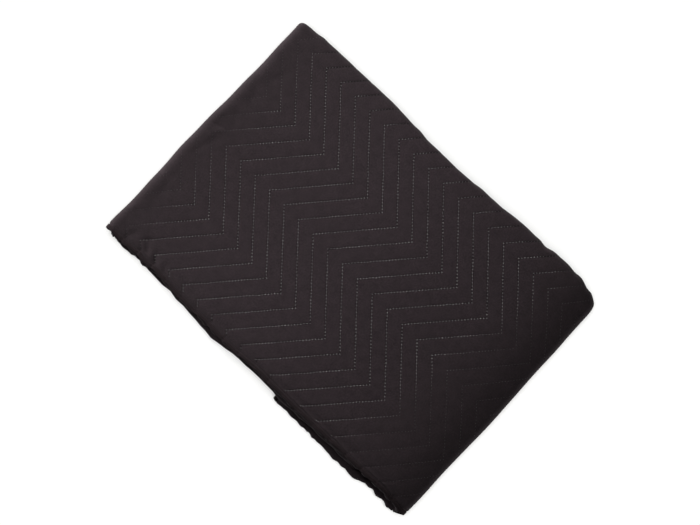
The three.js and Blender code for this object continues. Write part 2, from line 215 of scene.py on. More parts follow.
def outsetsAt(outer):
    index = np.clip(np.searchsorted(outerFrom, outer, side="right") - 1, 0, len(stripLegs) - 1)
    ease = smooth((outer - outerFrom[index]) / outerLengths[index], 0, 1)
    opened = openOut[index] + (openOut[index + 1] - openOut[index]) * ease
    folded = foldedOut[index] + (foldedOut[index + 1] - foldedOut[index]) * ease
    return index, opened, folded


def outsetY(outer, y):  # where a line at y comes to lie once the sides stand out, and the other way round
    _, opened, folded = outsetsAt(outer)
    side = (y + halfWidth) / (2 * halfWidth)
    return y - opened * (1 - side) + folded * side


def straightY(outer, placedY):
    _, opened, folded = outsetsAt(outer)
    widening = (opened + folded) / 2
    return (placedY + opened - widening) / (1 + widening / halfWidth)


# where an edge stands out or draws in over a short way
edgeLumpColumns = ("edge", "level", "at", "reach", "out")  # millimetres along the edge and outwards
edgeLumps = [dict(zip(edgeLumpColumns, row)) for row in (
    ("folded", "all", -310, 9, 1.5),
    ("folded", "all", -220, 30, -0.9),
    ("folded", "all", -70, 14, 1.8),
    ("folded", "all", 78, 12, 1.2),
    ("folded", "all", 124, 14, -1.2),
    ("folded", "all", 200, 14, -1.6),
    ("folded", "all", 226, 11, -4.0),
    ("folded", "all", 294, 12, -2.2),
    ("folded", "all", 342, 10, 4.5),
    ("open", "below", -316, 9, 3.0),
    ("open", "all", -284, 6, -1.8),
    ("open", "all", -244, 7, -1.0),
    ("open", "below", -220, 10, 2.2),
    ("open", "below", -172, 20, 2.4),
    ("open", "below", -88, 30, 4.2),
    ("open", "all", 5, 34, -2.4),
    ("open", "below", 70, 8, 2.4),
    ("open", "below", 100, 34, 1.8),
    ("open", "below", 260, 13, 3.6),
    ("open", "below", 304, 12, 2.2),
    ("open", "below", 332, 6, 2.8),
    ("open", "all", 352, 9, 3.0),
    ("left", "all", 0, 330, -2.0),
    ("left", "all", -175, 50, -1.6),
    ("left", "all", 30, 45, -1.4),
    ("right", "all", -210, 40, 1.4),
    ("right", "all", 125, 40, 1.2),
)]


def lumped(outer, x, y):  # the point moved by the lumps of the edges near it
    onTop = smooth(outer, leftFoldFrom, topFrom) * (1 - smooth(outer, rightFoldFrom, rightFoldTo))
    near = {
        "open": (1 - smooth(y, -halfWidth, -halfWidth + folding["openLumpReach"]), x, (0, -1)),
        "folded": (smooth(y, halfWidth - folding["foldedLumpReach"], halfWidth), x, (0, 1)),
        "left": (1 - smooth(x, -halfLength, -halfLength + folding["endLumpReach"]), y, (-1, 0)),
        "right": (smooth(x, halfLength - folding["endLumpReach"], halfLength), y, (1, 0)),
    }
    moveX, moveY = np.zeros(np.shape(x)), np.zeros(np.shape(y))
    for lump in edgeLumps:
        share, along, way = near[lump["edge"]]
        level = 1.0 if lump["level"] == "all" else 1 - onTop
        move = lump["out"] * share * level * np.exp(-(((along - lump["at"]) / lump["reach"]) ** 2))
        moveX, moveY = moveX + way[0] * move, moveY + way[1] * move
    reachX, reachY = folding["cornerReach"]
    corner = smooth(x, halfLength - reachX, halfLength - 2) * smooth(y, halfWidth - reachY, halfWidth)
    return x + moveX - folding["cornerCut"] * corner, y + moveY


def place(outer, y, out, withLumps=True):  # a point of the folded blanket, from its place on the strip
    outer, y, out = np.broadcast_arrays(*(np.asarray(value, float) for value in (outer, y, out)))
    index = outsetsAt(outer)[0]
    along, up, heading = follow(stripLegs, index, (outer - outerFrom[index]) / stretch[index])
    inFold = np.clip((outer - leftFoldFrom) / (topFrom - leftFoldFrom), 0, 1)
    uneven = 0.85 + 0.25 * np.sin(y / 37 + 1.0) + 0.15 * np.sin(y / 13.0)
    square = folding["leftSquare"] * uneven * np.sin(2 * math.pi * inFold) ** 2 * (inFold > 0.5)
    out = out + square * np.clip(out / stripHalf, 0, 1)
    placedX = along - out * np.sin(heading) - halfLength
    bow = folding["endBow"] * (np.exp(-(((y - folding["bowMiddle"]) / folding["bowWidth"]) ** 2)) - 0.3)
    placedX = placedX + bow * (placedX / halfLength) ** 5  # only near the ends
    placedY = outsetY(outer, y)
    if withLumps:
        placedX, placedY = lumped(outer, placedX, placedY)
    beyond = (folding["pressLine"] - placedY) / folding["pressReach"]
    pressed = folding["pressShare"] * (beyond + np.sqrt(beyond**2 + folding["pressSoftness"] ** 2)) / 2
    placedZ = (up + out * np.cos(heading)) * (1 - pressed)
    return np.stack([placedX, placedY, placedZ], -1) + moveToFrame


def pressStep(leg, outer):  # where a straight layer crosses the line from which it is pressed
    startY, _, heading = leg["start"]
    return leg["from"] + (straightY(outer, folding["pressLine"]) - startY) * math.cos(heading)


openFoldMiddle = acrossLegs[3]["from"] + acrossLegs[3]["length"] / 2
cornerY, cornerOut = acrossAt(openFoldMiddle, np.array([tapeOuter, -tapeOuter]))
flapCorner = place(stripLength + tapeReach, cornerY, cornerOut, withLumps=False).min(0)
solidCorner = np.array(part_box("short_flap_binding")[0]) * 1000
moveToFrame[:2] = (solidCorner - flapCorner)[:2]
print("sheet", round(sheetLength), "by", round(acrossLength), "mm, moved", moveToFrame.round(2))

quilting = {  # rows of zigzag stitching, millimetres and degrees
    "rowPitch": 36.5,
    "zigzagReach": 100.4,
    "legSpan": 111.35,
    "legDrift": 6.8,
    "rowTurn": 2.5,
    "cornerX": -231.7,
    "cornerY": 222.5,
    "wholeLegs": 4,
    "leastPart": 0.04,
    "heldFrom": -120.0,
    "heldTo": 590.0,
    "legSine": 0.745,
    "legLength": 150.0,
    "grooveDepth": 0.32,
    "grooveWidth": 1.8,
    "grooveLeast": 0.2,  # share of the depth that stays where the stitching fades
    "pillow": 0.12,
    "pillowReach": 13.6,  # half way to the next row
    "pucker": 0.12,
    "puckerLength": 15.0,
    "puckerReach": 6.0,
    "swell": 0.15,
    "edgeDent": 0.5,
    "dentReach": 14.0,
    "foldFade": 25.0,
    "seamClearance": 3.0,
    "lump": 1.2,
    "leftFade": (-325.0, -270.0),  # the stitching shows from here on
    "rightFade": (196.0, 278.0),  # and fades from here on, along a slanting line
    "fadeSlant": 0.19,
}
rowTurn = math.radians(quilting["rowTurn"])
wholeLegs = quilting["wholeLegs"]
topFromX = leftCentre - halfLength
openLine = topEdge + seamTo
rng = np.random.default_rng(7)
rowCount, firstRow, lastRow = 200, -24, 43
rowPhases = rng.uniform(0, 2 * math.pi, rowCount)


def cornerAt(row, turn):
    alongRow = row * quilting["rowPitch"] + turn * quilting["legDrift"]
    alongRow = alongRow + np.abs(turn) % 2 * quilting["zigzagReach"]
    held = np.clip(alongRow, quilting["heldFrom"], quilting["heldTo"])
    x = quilting["cornerX"] + alongRow * math.cos(rowTurn) - turn * quilting["legSpan"] * math.sin(rowTurn)
    y = quilting["cornerY"] - held * math.sin(rowTurn) - turn * quilting["legSpan"] * math.cos(rowTurn)
    return x, y


def stitchAt(row, turn):
    low = np.floor(turn)
    (x0, y0), (x1, y1) = cornerAt(row, low), cornerAt(row, low + 1)
    return x0 + (x1 - x0) * (turn - low), y0 + (y1 - y0) * (turn - low)


def outerOf(x):
    return topFrom + x - topFromX


def turnAtLine(row, firstTurn, line, past=0.0):  # where a row crosses a line of the strip, a distance past it
    fromY, toY = cornerAt(row, firstTurn)[1], cornerAt(row, firstTurn + 1)[1]
    x = stitchAt(row, firstTurn + (fromY - line) / (fromY - toY))[0]
    return firstTurn + (fromY - outsetY(outerOf(x), line) - past) / (fromY - toY)


def openTurn(row):
    return np.maximum(turnAtLine(row, wholeLegs, openLine), wholeLegs + quilting["leastPart"])


def openOuter(row):
    return outerOf(stitchAt(row, openTurn(row))[0])


def clearOfSeam(y):  # rows that run out askew under the tape are drawn in, in the same order
    past = y - openLine
    return openLine + (past + np.hypot(past, quilting["seamClearance"])) / 2


stationing = {  # places along the strip: close together over the top and its folds
    "fade": 150.0,
    "leftMargin": 85.0,
    "rightMargin": 45.0,
    "offsets": (0, 0.02, 0.05, 0.095, 0.16, 0.25, 0.36, 0.5, 0.64, 0.75, 0.84, 0.905, 0.95, 0.98),
    "plainStep": 16.0,
    "raggedStep": 4.0,
    "endMargin": 14.0,
}
fineFrom = leftFoldFrom - stationing["leftMargin"]
fineTo = rightFoldTo + stationing["rightMargin"]
rowGrid = np.concatenate([whole + np.array(stationing["offsets"]) for whole in range(firstRow, lastRow + 1)])
gridOuter = openOuter(rowGrid)
onHalf = np.isclose(rowGrid * 2 % 1, 0)
isFine = (gridOuter > fineFrom) & (gridOuter < fineTo)
nearFrom = fineFrom - stationing["fade"]
nearTo = min(fineTo + stationing["fade"], stripLength - 20)
isNear = (gridOuter > nearFrom) & (gridOuter < nearTo)
keep = isFine | (isNear & onHalf)
plain = np.concatenate([
    np.arange(seamTo + 6, gridOuter[keep].min() - 6, stationing["plainStep"]),
    np.arange(gridOuter[keep].max() + 10, stripLength - stationing["endMargin"], stationing["plainStep"]),
    [0, seamEnd, seamTo],
    [stripLength - inset for inset in (0, seamEnd, seamTo)],
])
stationOuter = np.concatenate([gridOuter[keep], plain])
stationRow = np.concatenate([rowGrid[keep], np.zeros(len(plain))])
isCoarse = np.concatenate([onHalf[keep], np.ones(len(plain), bool)])
order = np.argsort(stationOuter)
stationOuter, stationRow, isCoarse = stationOuter[order], stationRow[order], isCoarse[order]
fine = {"outer": stationOuter, "row": stationRow}
extraOuter = np.arange(rightFoldFrom, stripLength - stationing["endMargin"], stationing["raggedStep"])
ragged = {"outer": np.unique(np.concatenate([stationOuter, extraOuter]))}
coarse = {"outer": stationOuter[isCoarse], "row": stationRow[isCoarse]}


def quiltedShare(outer):
    left = smooth(outer, fineFrom - stationing["fade"], fineFrom)
    return left * (1 - smooth(outer, fineTo, fineTo + stationing["fade"]))


def grooveShare(outer):
    fade = quilting["foldFade"]
    left = smooth(outer, leftFoldFrom, leftFoldFrom + fade)
    return left * (1 - smooth(outer, rightFoldTo - fade, rightFoldTo))


def stitchedShare(outer, y):  # the stitching sinks in and fades towards both folds, sooner by the open side
    x = outer - topFrom + topFromX
    faded = smooth(x - quilting["fadeSlant"] * y, *quilting["rightFade"])
    return smooth(x, *quilting["leftFade"]) * (1 - faded)


def coverRamp(distance, length):
    return np.clip((np.minimum(distance, length - distance) - seamEnd) / binding["taper"], 0, 1)


def halfThickness(distance, outer):
    ramp = np.minimum(coverRamp(distance, acrossLength), coverRamp(outer, stripLength))
    return (folding["seamThickness"] + (folding["clothThickness"] - folding["seamThickness"]) * ramp) / 2


def stitchGap(row):  # millimetres to the nearest row of stitching
    return np.abs(row - np.round(row)) * quilting["rowPitch"] * quilting["legSine"]


def reliefAt(row, turn, outer, y):  # how far the face is drawn in, deepest along the stitching
    gap = stitchGap(row)
    toEdge = np.exp(-np.clip(y - openLine, 0, None) / quilting["dentReach"])
    least = quilting["grooveLeast"]
    shown = least + (1 - least) * stitchedShare(outer, y)
    depth = quilting["grooveDepth"] * shown + quilting["edgeDent"] * toEdge
    groove = depth * np.exp(-((gap / quilting["grooveWidth"]) ** 1.3))
    pillow = quilting["pillow"] * (1 - gap / quilting["pillowReach"]) ** 2
    phase = rowPhases[np.round(row).astype(int) + 60] + np.floor(turn) * 2.1
    ripple = np.sin(turn * quilting["legLength"] * 2 * math.pi / quilting["puckerLength"] + phase)
    swell = np.sin(turn * 5.3 + row * 0.9) * np.sin(row * 1.7 - turn * 2.2 + 1.0)
    pucker = quilting["pucker"] * np.exp(-gap / quilting["puckerReach"]) * ripple
    return (groove + pillow + pucker + quilting["swell"] * swell) * grooveShare(outer)


# soft dents in the top face, or ridges where the depth is below zero
creaseColumns = ("x", "y", "turn", "length", "width", "depth")  # millimetres, and degrees from +X
creases = [dict(zip(creaseColumns, row)) for row in (
    (-343, 0, 90, 330, 15, -0.3),
    (-338, 13, 5, 12, 4, 1.3),
    (-334, 2, 68, 16, 6, -0.7),
    (-328, -18, 58, 20, 5, 0.5),
    (-332, -38, 64, 18, 5, 0.5),
    (-326, 46, 118, 22, 6, 0.6),
    (-330, 96, 112, 26, 8, 0.6),
    (-318, 150, 70, 24, 8, 0.5),
    (-332, -128, 100, 34, 9, 0.6),
    (-316, -226, 62, 13, 6, 1.0),
    (-281, -222, 130, 14, 5.5, 2.0),
    (-257, -228, 128, 14, 5.5, 1.7),
    (-229, -234, 128, 12, 5, 1.5),
    (-39, -200, 40, 8, 3, 0.7),
    (190, -233, 0, 150, 4, 1.0),
)]


def creaseAt(outer, y):
    x = outer - topFrom + topFromX
    total = np.zeros(np.broadcast(x, y).shape)
    for crease in creases:
        turn = math.radians(crease["turn"])
        along = (x - crease["x"]) * math.cos(turn) + (y - crease["y"]) * math.sin(turn)
        beside = (y - crease["y"]) * math.cos(turn) - (x - crease["x"]) * math.sin(turn)
        fall = (beside / crease["width"]) ** 2 + (along / crease["length"]) ** 4
        total += crease["depth"] * np.exp(-fall)
    return total


def foldSpot(y, reach):  # the face runs flat to the folded side and then round its fold
    angle = np.clip((y - foldCentre) / stripHalf, 0, math.pi)
    return np.minimum(y, foldCentre) + reach * np.sin(angle), reach * np.cos(angle)


def facePoint(row, turn, lift, station=None, past=None):  # on the quilted face, or past its side line
    x, placedY = stitchAt(row, turn)
    outer = outerOf(x)
    reach = np.full(np.shape(outer), stripHalf)
    if station is not None:
        outer = station["outer"] + (outer - station["outer"]) * quiltedShare(station["outer"])
        reach = 1.5 * layerPitch + halfThickness(acrossLength / 2, station["outer"])
    sideLine = outsetY(outer, foldCentre)
    flatY = clearOfSeam(straightY(outer, placedY))
    y = np.where(placedY > sideLine, foldCentre + placedY - sideLine, flatY)
    if past is not None:
        y = np.full(np.shape(outer), foldCentre + past)
    roundFold = 1 - smooth(y, foldCentre + 0.55 * math.pi * stripHalf, foldCentre + math.pi * stripHalf)
    reach = reach - reliefAt(row, turn, outer, y) * roundFold - creaseAt(outer, y) * grooveShare(outer) + lift
    spotY, out = foldSpot(y, reach)
    return place(outer, spotY, out), outer, y


faceRows = {"openPart": 6, "leg": 34, "foldedPart": 8, "sideFold": 14, "fadeOut": 5, "fadeReach": 90.0}
farFromStitch = 20.0  # millimetres, for cloth without stitching
turnRows = [("open", part) for part in np.linspace(0, 1, faceRows["openPart"] + 1)[:-1]]
turnRows += [("whole", turn) for turn in np.linspace(wholeLegs, 0, wholeLegs * faceRows["leg"] + 1)]
turnRows += [("folded", part) for part in np.linspace(0, 1, faceRows["foldedPart"] + 1)[1:]]
turnRows += [("round", part) for part in np.linspace(0, 1, faceRows["sideFold"] + 1)[1:]]


def turnOf(kind, value, row):
    if kind == "open":
        return openTurn(row) + (wholeLegs - openTurn(row)) * value
    if kind == "whole":
        return np.full(np.shape(row), float(value))
    if kind == "folded":
        return turnAtLine(row, -1, foldCentre) * value
    return turnAtLine(row, -1, foldCentre, math.pi * stripHalf * value)


lines = []  # round the sheet's section: each a line of points along the strip


def addLine(stations, points, outer, across, gap):
    size = len(stations["outer"])
    lines.append({
        "keys": stations["outer"],
        "points": points,
        "uv": np.stack([np.broadcast_to(outer, size), np.broadcast_to(across, size)], -1),
        "gap": np.broadcast_to(gap, size),
    })


def lumpAt(outer):
    ends = smooth(outer, 12, 30) * (1 - smooth(outer, stripLength - 30, stripLength - 12))
    short = np.sin(outer / 2.7 + 1.6 * np.sin(outer / 17.0)) * np.sin(outer / 23.0 + 0.8) ** 2
    return quilting["lump"] * ends * (short + 0.6 * np.sin(outer / 5.7 + 2.0 * np.sin(outer / 29.0)))


def edgeWave(outer, distance):  # the taped edge wanders a little in its own plane
    wave = 0.7 * np.sin(outer / 7.3 + 1.1 * np.sin(outer / 31.0)) + 0.5 * np.sin(outer / 17.0 + 0.4)
    ends = smooth(outer, 12, 40) * (1 - smooth(outer, stripLength - 40, stripLength - 12))
    return wave * ends * np.clip(1 - distance / 10, 0, 1)


def addPlain(stations, stepAt, side, lump=0.0):
    outer = stations["outer"]
    distance = np.broadcast_to(stepAt(outer), outer.shape)
    y, out = acrossAt(distance, side * halfThickness(distance, outer))
    addLine(stations, place(outer, y - lump * lumpAt(outer), out), outer, distance, farFromStitch)


def edgeDip(stations, distance):
    gap = stitchGap(stations["row"])
    share = quiltedShare(stations["outer"]) * grooveShare(stations["outer"])
    return quilting["edgeDent"] * np.exp(-((gap / 4) ** 2)) * share * np.clip(distance / 8, 0, 1)


for distance in seamSteps:
    y, out = acrossAt(distance, halfThickness(distance, fine["outer"]))
    points = place(fine["outer"], y + edgeWave(fine["outer"], distance), out - edgeDip(fine, distance))
    addLine(fine, points, fine["outer"], distance, farFromStitch)
for kind, value in turnRows:
    turn = turnOf(kind, value, fine["row"])
    past = math.pi * stripHalf * value if kind == "round" else None
    points, outer, y = facePoint(fine["row"], turn, 0.0, fine, past)
    # the stitchGap attribute drives the painted groove shade; it is pushed out where the stitching fades, so
    # less shade is painted there
    addLine(fine, points, outer, y - topEdge, stitchGap(fine["row"]) + 3 * (1 - stitchedShare(outer, y)))
lastTurn = turnOf("round", 1.0, fine["row"])
lastOuter = facePoint(fine["row"], lastTurn, 0.0, fine)[1]
for i in range(1, faceRows["fadeOut"] + 1):
    part = i / faceRows["fadeOut"]
    outer = lastOuter + (fine["outer"] - lastOuter) * part
    distance = acrossLegs[2]["from"] + faceRows["fadeReach"] * part
    y, out = acrossAt(distance, halfThickness(distance, fine["outer"]))
    addLine(fine, place(outer, y, out), outer, distance, farFromStitch)


def legSteps(leg, turns):
    if leg["curve"] == 0:
        return [lambda outer, leg=leg: pressStep(leg, outer)]
    return [lambda outer, at=leg["from"] + leg["length"] * i / turns: at for i in range(turns + 1)]


openFold, raggedReach = acrossLegs[3], 5.0
rimSteps = seamSteps + [seamTo]
innerSteps = [(coarse, step) for step in legSteps(acrossLegs[2], 0)]
innerSteps += [(ragged, step) for step in legSteps(openFold, 8)]
innerSteps += [(coarse, step) for leg in acrossLegs[4:] for step in legSteps(leg, 6)]
lastSeam = [(coarse, lambda outer, inset=inset: acrossLength - inset) for inset in rimSteps[::-1]]
for stations, stepAt in innerSteps + lastSeam:
    fromMiddle = stepAt(stations["outer"]) - openFoldMiddle
    addPlain(stations, stepAt, 1, lump=np.exp(-((fromMiddle / raggedReach) ** 2)))
backSteps = [(coarse, lambda outer, inset=inset: inset) for inset in rimSteps]
backSteps += [(coarse, step) for leg in acrossLegs for step in legSteps(leg, 8)]
for stations, stepAt in (backSteps + lastSeam)[::-1]:
    addPlain(stations, stepAt, -1)
print("quilt lines", len(lines), "stations", len(stationOuter))


def bridge(first, second, firstIds, secondIds, faces):
    if first is second or np.array_equal(first, second):
        quads = np.stack([firstIds[:-1], firstIds[1:], secondIds[1:], secondIds[:-1]], -1)
        faces.extend(map(tuple, quads.tolist()))
        return
    i = j = 0
    while i < len(first) - 1 or j < len(second) - 1:
        nextFirst = first[i + 1] if i + 1 < len(first) else math.inf
        nextSecond = second[j + 1] if j + 1 < len(second) else math.inf
        if nextFirst <= nextSecond:
            faces.append((int(firstIds[i]), int(firstIds[i + 1]), int(secondIds[j])))
            i += 1
        else:
            faces.append((int(firstIds[i]), int(secondIds[j + 1]), int(secondIds[j])))
            j += 1


def addMesh(name, points, faces, material, uv=None, values=None):
    mesh = bpy.data.meshes.new(name)
    mesh.from_pydata((points * 0.001).tolist(), [], faces)
    mesh.validate()
    shell = bmesh.new()
    shell.from_mesh(mesh)
    bmesh.ops.recalc_face_normals(shell, faces=shell.faces[:])
    shell.to_mesh(mesh)
    shell.free()
    if uv is not None:
        layer = mesh.uv_layers.new(name="cloth")
        corners = np.zeros(len(mesh.loops), int)
        mesh.loops.foreach_get("vertex_index", corners)
        layer.data.foreach_set("uv", (uv[corners] * 0.001).astype(np.float32).ravel())
    for label, value in (values or {}).items():
        mesh.attributes.new(label, "FLOAT", "POINT").data.foreach_set("value", value.astype(np.float32))
    mesh.shade_smooth()
    mesh.materials.append(material)
    piece = bpy.data.objects.new(name, mesh)
    bpy.context.scene.collection.objects.link(piece)
    return piece


def linear(code):  # sRGB hex to linear colour
    parts = [int(code[i:i + 2], 16) / 255 for i in (1, 3, 5)]
    return [c / 12.92 if c <= 0.04045 else ((c + 0.055) / 1.055) ** 2.4 for c in parts] + [1.0]


def addNode(tree, kind, settings=None, inputs=None):
    node = tree.nodes.new(kind)
    for key, value in (settings or {}).items():
        setattr(node, key, value)
    for key, value in (inputs or {}).items():
        if isinstance(value, bpy.types.NodeSocket):
            tree.links.new(value, node.inputs[key])
        else:
            node.inputs[key].default_value = value
    return node


def newMaterial(name):
    material = bpy.data.materials.new(name)
    material.use_nodes = True
    tree = material.node_tree
    return material, tree, tree.nodes["Principled BSDF"]


def waveScale(millimetres):  # Blender's wave repeats every 2 pi / 20 at scale 1, and uv is in metres
    return 2 * math.pi / (20 * millimetres * 0.001)


def noiseScale(millimetres):  # one lump of noise to this length
    return 1000 / millimetres


quiltCloth = {
    "dark": "#262022",
    "middle": "#30282b",
    "light": "#3c3236",
    "threadSpacing": 1.5,  # real yarns are about 0.5 mm apart, drawn coarser to show
    "fleckSize": 3.0,
    "cloudSize": 60.0,
    "blotchSize": 16.0,
    "blotches": (0.9, 1.08),  # darkest and lightest, as shares of the tone
    "yarns": (0.8, 1.15),
    "stitchShade": 0.3,  # painted shade: the cloth's tone is darkened to this share in the bottom of a stitched groove
    "stitchShadeReach": 1.7,
    "roughness": 0.92,
}
# matt and heathered, with a faint bloom of fibres
clothMaterial, tree, shader = newMaterial("woven polyester cotton quilt cloth")
clothUv = addNode(tree, "ShaderNodeUVMap", {"uv_map": "cloth"}).outputs["UV"]
yarnInputs = {"Vector": clothUv, "Scale": waveScale(quiltCloth["threadSpacing"]), "Distortion": 1.2,
              "Detail": 1.0, "Detail Scale": 0.6}
warp = addNode(tree, "ShaderNodeTexWave", {"bands_direction": "X"}, yarnInputs)
weft = addNode(tree, "ShaderNodeTexWave", {"bands_direction": "Y"}, yarnInputs)
weave = addNode(tree, "ShaderNodeMath", {"operation": "MULTIPLY"},
                {0: warp.outputs["Fac"], 1: weft.outputs["Fac"]})
flecks = addNode(tree, "ShaderNodeTexNoise", None,
                 {"Vector": clothUv, "Scale": noiseScale(quiltCloth["fleckSize"]), "Detail": 3.0,
                  "Roughness": 0.7})
clouds = addNode(tree, "ShaderNodeTexNoise", None,
                 {"Vector": clothUv, "Scale": noiseScale(quiltCloth["cloudSize"]), "Detail": 4.0,
                  "Roughness": 0.6})
fleckRamp = addNode(tree, "ShaderNodeValToRGB", None, {"Fac": flecks.outputs["Fac"]})
fleckRamp.color_ramp.elements[0].position = 0.34
fleckRamp.color_ramp.elements[0].color = linear(quiltCloth["dark"])
fleckRamp.color_ramp.elements[1].position = 0.68
fleckRamp.color_ramp.elements[1].color = linear(quiltCloth["light"])
tone = addNode(tree, "ShaderNodeMix", {"data_type": "RGBA"},
               {"Factor": clouds.outputs["Fac"], 6: fleckRamp.outputs["Color"],
                7: linear(quiltCloth["middle"])})
gapNode = addNode(tree, "ShaderNodeAttribute", {"attribute_name": "stitchGap"})
# painted shade in the grooves: the tone darkens towards each row of stitching, as a shadow would
paintedGrooveShade = addNode(tree, "ShaderNodeMapRange", None,
                     {"Value": gapNode.outputs["Fac"], "From Min": 0.0, "To Max": 1.0,
                      "From Max": quiltCloth["stitchShadeReach"], "To Min": quiltCloth["stitchShade"]})
shaded = addNode(tree, "ShaderNodeMix", {"data_type": "RGBA", "blend_type": "MULTIPLY"},
                 {"Factor": 1.0, 6: tone.outputs[2], 7: paintedGrooveShade.outputs["Result"]})
blotches = addNode(tree, "ShaderNodeTexNoise", None,
                   {"Vector": clothUv, "Scale": noiseScale(quiltCloth["blotchSize"]), "Detail": 2.0})
patchy = addNode(tree, "ShaderNodeMapRange", None,
                 {"Value": blotches.outputs["Fac"], "From Min": 0.3, "From Max": 0.7,
                  "To Min": quiltCloth["blotches"][0], "To Max": quiltCloth["blotches"][1]})
blotched = addNode(tree, "ShaderNodeMix", {"data_type": "RGBA", "blend_type": "MULTIPLY"},
                   {"Factor": 1.0, 6: shaded.outputs[2], 7: patchy.outputs["Result"]})
threads = addNode(tree, "ShaderNodeMapRange", None,
                  {"Value": weave.outputs["Value"], "To Min": quiltCloth["yarns"][0],
                   "To Max": quiltCloth["yarns"][1]})
woven = addNode(tree, "ShaderNodeMix", {"data_type": "RGBA", "blend_type": "MULTIPLY"},
                {"Factor": 1.0, 6: blotched.outputs[2], 7: threads.outputs["Result"]})
height = addNode(tree, "ShaderNodeMath", {"operation": "ADD"},
                 {0: weave.outputs["Value"], 1: flecks.outputs["Fac"]})
bump = addNode(tree, "ShaderNodeBump", None,
               {"Height": height.outputs["Value"], "Strength": 0.5, "Distance": 0.0003})
tree.links.new(woven.outputs[2], shader.inputs["Base Color"])
tree.links.new(bump.outputs["Normal"], shader.inputs["Normal"])
shader.inputs["Roughness"].default_value = quiltCloth["roughness"]
shader.inputs["Specular IOR Level"].default_value = 0.12
shader.inputs["Sheen Weight"].default_value = 0.04
shader.inputs["Sheen Roughness"].default_value = 0.5

counts = [0] + np.cumsum([len(line["keys"]) for line in lines]).tolist()
ids = [np.arange(counts[i], counts[i + 1]) for i in range(len(lines))]
faces = []
for i, line in enumerate(lines):
    other = (i + 1) % len(lines)
    bridge(line["keys"], lines[other]["keys"], ids[i], ids[other], faces)
faces.append(tuple(int(each[0]) for each in ids)[::-1])
faces.append(tuple(int(each[-1]) for each in ids))
allPoints = np.concatenate([line["points"] for line in lines])
quilt = addMesh("quilt", allPoints, faces, clothMaterial, np.concatenate([line["uv"] for line in lines]),
                {"stitchGap": np.concatenate([line["gap"] for line in lines])})
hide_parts("quilt_pad")
print("quilt faces", len(quilt.data.polygons))


def sweep(name, profile, along, pointAt, material):  # a closed profile carried along a line, its ends closed
    grid = np.stack([pointAt(along, inset, lift) for inset, lift in profile], 0)
    size, count = grid.shape[0], grid.shape[1]
    ids = np.arange(size * count).reshape(size, count)
    faces = []
    for i in range(size):
        bridge(along, along, ids[i], ids[(i + 1) % size], faces)
    faces.append(tuple(ids[:, 0].tolist())[::-1])
    faces.append(tuple(ids[:, -1].tolist()))
    outline = np.array(profile)
    girth = np.concatenate([[0], np.cumsum(np.linalg.norm(np.diff(outline, axis=0), axis=1))])
    uv = np.stack(np.broadcast_arrays(along[None, :], girth[:, None]), -1).reshape(-1, 2)
    return addMesh(name, grid.reshape(-1, 3), faces, material, uv)


tapeLook = {
    "dark": "#231e1f",
    "light": "#322b2d",
    "ribSpacing": 1.2,  # real ribs are about 0.6 mm apart, drawn coarser to show
    "roughness": 0.85,
}
# fine ribs across it, and a little smoother than the cloth; its tone is darker than the cloth's, partly its
# own and partly painted shade of the rounded, taped edges
tapeMaterial, tree, shader = newMaterial("woven polypropylene binding tape")
tapeUv = addNode(tree, "ShaderNodeUVMap", {"uv_map": "cloth"}).outputs["UV"]
ribs = addNode(tree, "ShaderNodeTexWave", {"bands_direction": "X"},
               {"Vector": tapeUv, "Scale": waveScale(tapeLook["ribSpacing"]), "Distortion": 0.8})
ribRamp = addNode(tree, "ShaderNodeValToRGB", None, {"Fac": ribs.outputs["Fac"]})
ribRamp.color_ramp.elements[0].color = linear(tapeLook["dark"])
ribRamp.color_ramp.elements[1].color = linear(tapeLook["light"])
bump = addNode(tree, "ShaderNodeBump", None,
               {"Height": ribs.outputs["Fac"], "Strength": 0.5, "Distance": 0.0002})
tree.links.new(ribRamp.outputs["Color"], shader.inputs["Base Color"])
tree.links.new(bump.outputs["Normal"], shader.inputs["Normal"])
shader.inputs["Roughness"].default_value = tapeLook["roughness"]
shader.inputs["Specular IOR Level"].default_value = 0.0

arc = np.linspace(math.pi / 2, -math.pi / 2, 11)
tapeInner = tapeOuter - binding["thickness"]
cover, edgeRound = binding["cover"], binding["round"]
bulgeUp, bulgeDown = binding["bulge"]
outside = [(cover, tapeOuter), (cover / 2, tapeOuter + bulgeUp)]
outside += [(edgeRound - (edgeRound + tapeReach) * math.cos(a), tapeOuter * math.sin(a)) for a in arc]
outside += [(cover / 2, -tapeOuter - bulgeDown), (cover, -tapeOuter)]
inside = [(cover, -tapeInner)]
innerReach = edgeRound + binding["gap"]
inside += [(edgeRound - innerReach * math.cos(a), tapeInner * math.sin(a)) for a in arc[::-1]]
inside += [(cover, tapeInner)]
tapeProfile = outside + inside  # inset from the edge and lift from the middle of the sheet


def rippled(lift, along):  # the outside of the tape ripples a little, its inside doesn't
    wave = np.sin(along * 2 * math.pi / binding["rippleLength"] + 2 * np.sin(along / 41.0))
    return lift + np.sign(lift) * binding["ripple"] * wave * (abs(lift) > tapeInner)


sideFrom = binding["cover"] + binding["gap"]
inner = (stationOuter > sideFrom) & (stationOuter < stripLength - sideFrom)
sideAlong = np.concatenate([[sideFrom], stationOuter[inner], [stripLength - sideFrom]])
sideRow = {"outer": sideAlong, "row": np.concatenate([[0], stationRow[inner], [0]])}


def sideBinding(name, edge, inward, dented):
    def pointAt(outer, inset, lift):
        y, out = acrossAt(edge + inward * inset, inward * rippled(lift, outer))
        dip = edgeDip(sideRow, 8 if inset > 0 else 4) * dented * (inset > 0)
        return place(outer, y + dented * edgeWave(outer, max(inset, 0)), out - dip)
    return sweep(name, tapeProfile, sideAlong, pointAt, tapeMaterial)


def endBinding(name, end, inward):
    steps = [-tapeReach]
    for leg in acrossLegs:
        count = 10 if leg["curve"] else 40
        steps += (leg["from"] + leg["length"] * np.arange(count) / count).tolist()
    steps = np.array(steps + [acrossLength, acrossLength + tapeReach])

    def pointAt(distance, inset, lift):
        outer = end + inward * inset
        y, out = acrossAt(distance, rippled(lift, distance))
        return place(outer, y, out)
    return sweep(name, tapeProfile, steps, pointAt, tapeMaterial)


